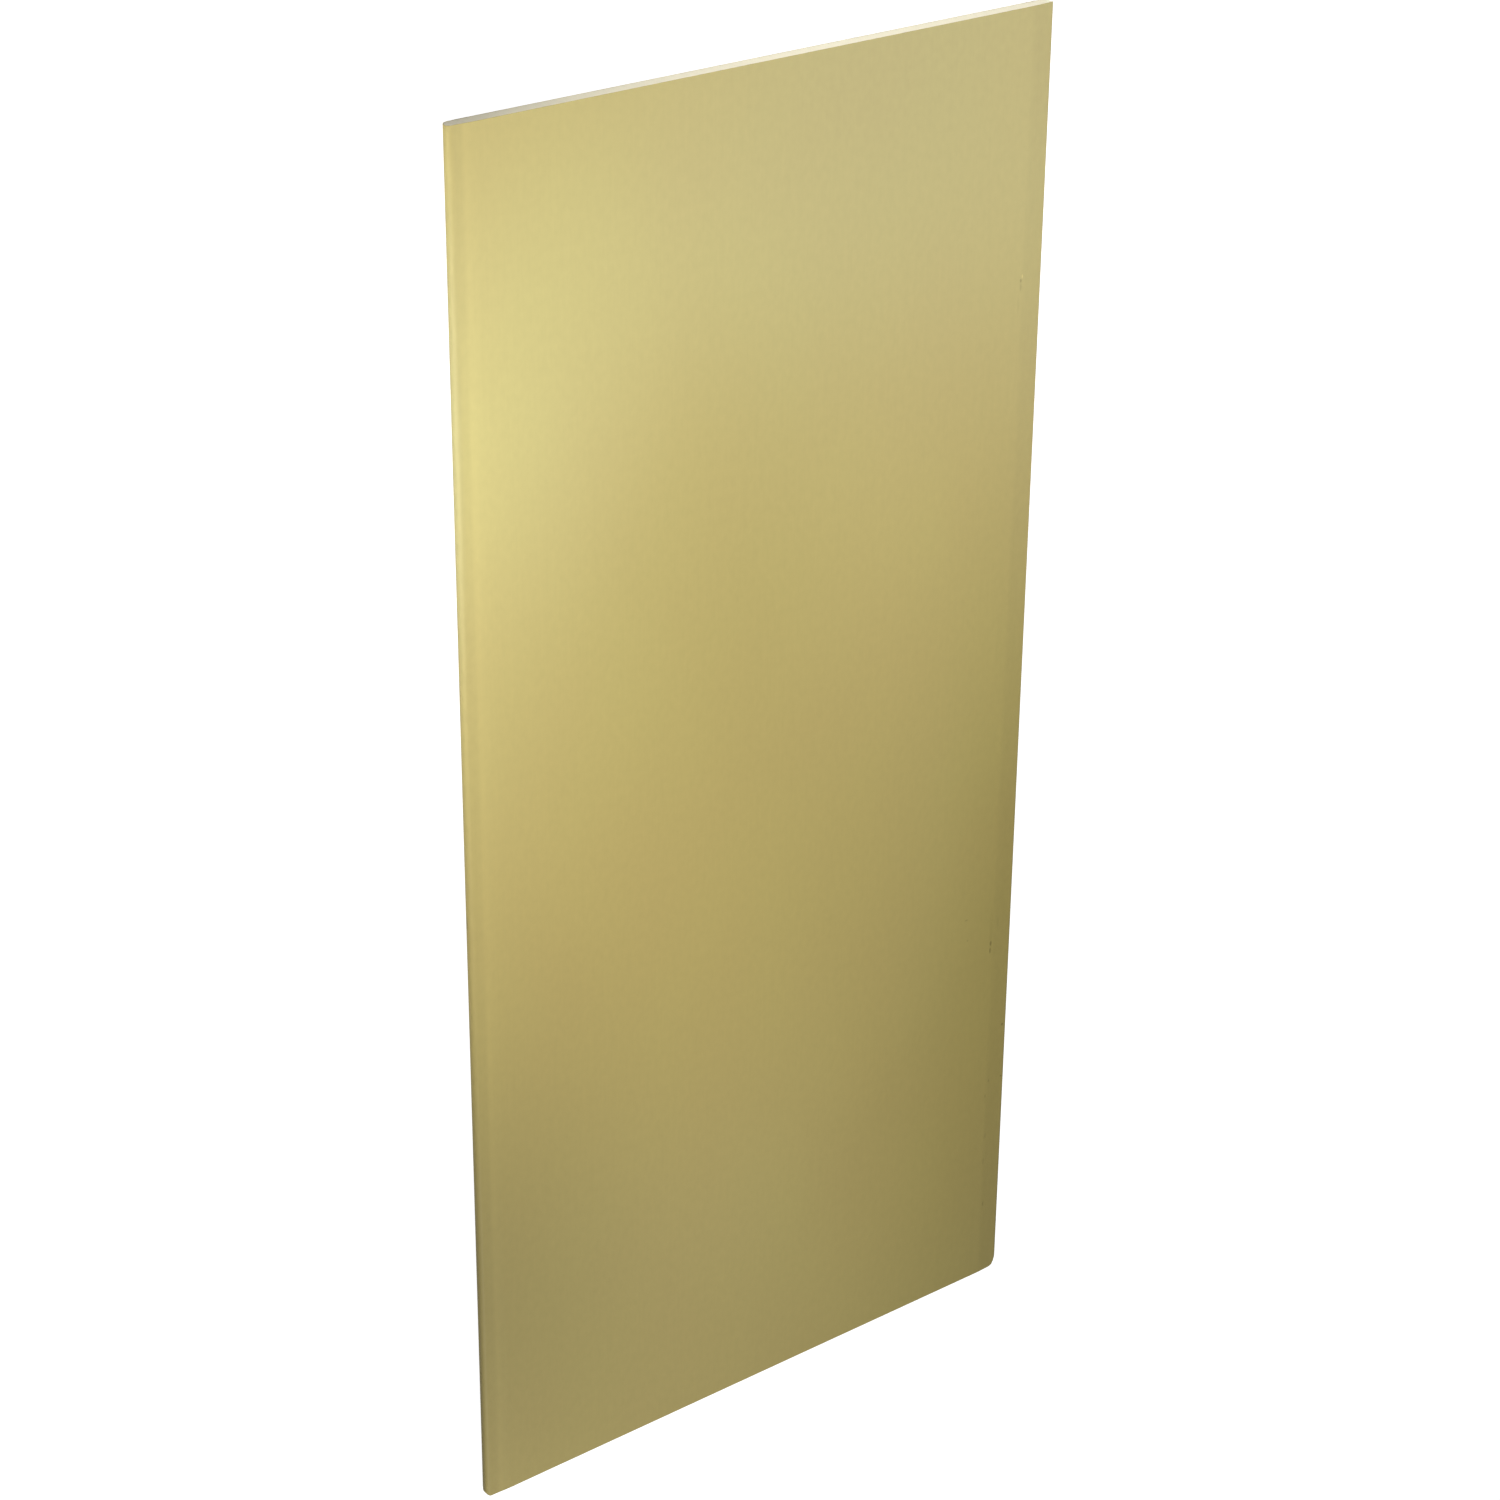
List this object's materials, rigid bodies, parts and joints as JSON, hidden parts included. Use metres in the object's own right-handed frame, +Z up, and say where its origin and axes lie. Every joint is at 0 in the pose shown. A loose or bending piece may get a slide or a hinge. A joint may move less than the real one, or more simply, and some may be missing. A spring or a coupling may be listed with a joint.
{
  "type": "drywall sheet",
  "caption": "Flat moisture-resistant drywall sheet: gypsum core between yellow-green face paper, folded round both tapered long edges, and grey back paper; ends cut square.",
  "frame": {"origin": "middle of the underside, the back paper, at the level of the floor that the sheet lies on", "axes": "+X across the sheet, +Y along it towards the picture's upper end, +Z up out of the good face"},
  "size_m": [0.6, 1.25, 0.0125],
  "materials": {
    "face_paper": "sized satin paper, yellow-green",
    "gypsum": "cut gypsum, cream, matte and slightly porous",
    "back_paper": "recycled grey-brown paper, matte"
  },
  "bodies": {
    "root": {"face_paper": "face_paper", "gypsum_core": "gypsum", "back_paper": "back_paper"}
  },
  "joints": []
}
